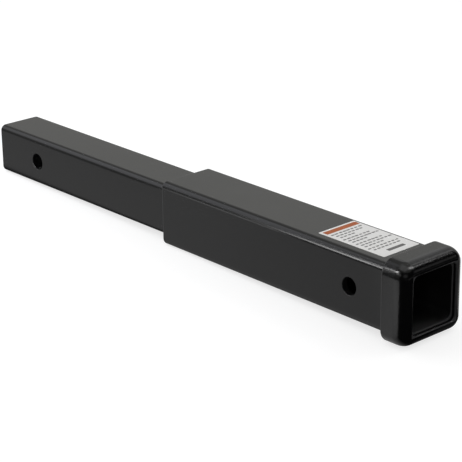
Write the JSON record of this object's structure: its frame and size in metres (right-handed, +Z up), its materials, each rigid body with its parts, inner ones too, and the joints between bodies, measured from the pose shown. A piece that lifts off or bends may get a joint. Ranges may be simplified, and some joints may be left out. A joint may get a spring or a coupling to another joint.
{
  "type": "hitch receiver extender",
  "caption": "Square steel shank welded into a larger receiver tube with a rounded collar at its mouth and a cross pin hole in each tube.",
  "frame": {"origin": "centre of the shank's pin hole, on the tubes' common axis", "axes": "+X along the tubes to the open mouth, +Y along the pin holes to the left side, +Z up to the labelled side"},
  "size_m": [0.5906, 0.0762, 0.0762],
  "materials": {
    "black_coat": "satin black powder coat",
    "label_film": "matt off-white film"
  },
  "bodies": {
    "root": {"shank_tube": "black_coat", "receiver_tube": "black_coat", "mouth_collar": "black_coat", "step_weld_top": "black_coat", "step_weld_bottom": "black_coat", "step_weld_left": "black_coat", "step_weld_right": "black_coat", "collar_weld": "black_coat", "label": "label_film"}
  },
  "joints": []
}
